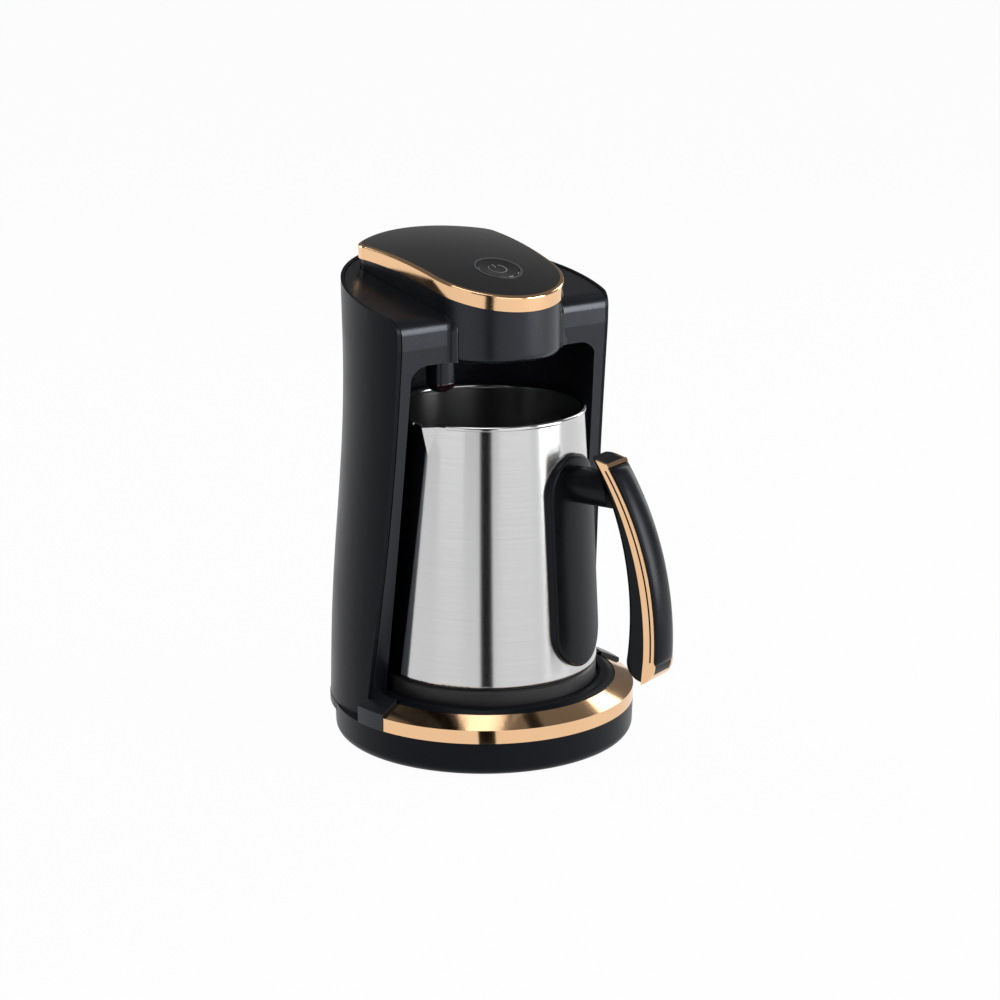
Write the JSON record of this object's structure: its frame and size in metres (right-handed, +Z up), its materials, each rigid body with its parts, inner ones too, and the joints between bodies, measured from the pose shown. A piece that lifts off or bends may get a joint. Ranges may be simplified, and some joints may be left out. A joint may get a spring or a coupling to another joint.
{
  "type": "electric turkish coffee maker",
  "caption": "Countertop coffee maker: round base with bright ring, tall black column and overhanging head, steel pot with curved handle that slides out, press button.",
  "frame": {"origin": "middle of the object's box at table height", "axes": "+Z up, -Y is the front, +X to the right seen from the front"},
  "size_m": [0.1406, 0.1732, 0.2298],
  "materials": {
    "satin_black": "satin moulded plastic, fine grain",
    "frame_black": "semi-gloss moulded plastic",
    "handle_black": "satin moulded plastic",
    "gloss_black": "piano black",
    "button_ring": "smoked light guide",
    "rose_metal": "polished rose gold plating",
    "steel": "brushed stainless steel",
    "coated_plate": "black non-stick coating",
    "aluminium": "mill finish",
    "zinc": "zinc plated",
    "rubber": "matt rubber",
    "window": "infrared window",
    "board": "green lacquer",
    "component_black": "moulded case",
    "white_plastic": "natural nylon"
  },
  "bodies": {
    "machine": {"base_bottom_plate": "satin_black", "base_bowl": "satin_black", "base_screws": "zinc", "base_trim_ring": "rose_metal", "board_spacers": "white_plastic", "button_ring": "button_ring", "buzzer": "component_black", "control_board": "board", "control_panel": "gloss_black", "cord_grommet": "rubber", "filter_capacitor": "component_black", "front_frame": "frame_black", "fuse_clip": "zinc", "head_housing": "frame_black", "head_trim": "rose_metal", "heat_shield": "aluminium", "heating_element": "aluminium", "hot_plate": "coated_plate", "infrared_sensor": "zinc", "power_board": "board", "rear_shell": "satin_black", "relay": "component_black", "rubber_feet": "rubber", "seat_ring": "satin_black", "sensor_housing": "frame_black", "sensor_window": "window", "status_leds": "white_plastic", "tact_switch": "zinc", "temperature_probe": "steel", "terminal_block": "board", "thermal_fuse": "zinc", "transformer": "component_black"},
    "pot": {"pot_body": "steel", "handle_pad": "handle_black", "handle_stem": "handle_black", "handle_bolt": "zinc", "grip_core": "handle_black", "grip_frame": "rose_metal", "grip_cover": "handle_black"},
    "button": {"start_button": "gloss_black", "switch_plunger": "white_plastic"}
  },
  "joints": [
    {"name": "pot_slide", "type": "slide", "parent": "machine", "child": "pot", "axis": [0, -1, 0], "range_m": [0, 0.13]},
    {"name": "button_press", "type": "slide", "parent": "machine", "child": "button", "axis": [0, 0.2682, -0.9634], "range_m": [0, 0.001], "stiffness_N_per_m": 600}
  ]
}
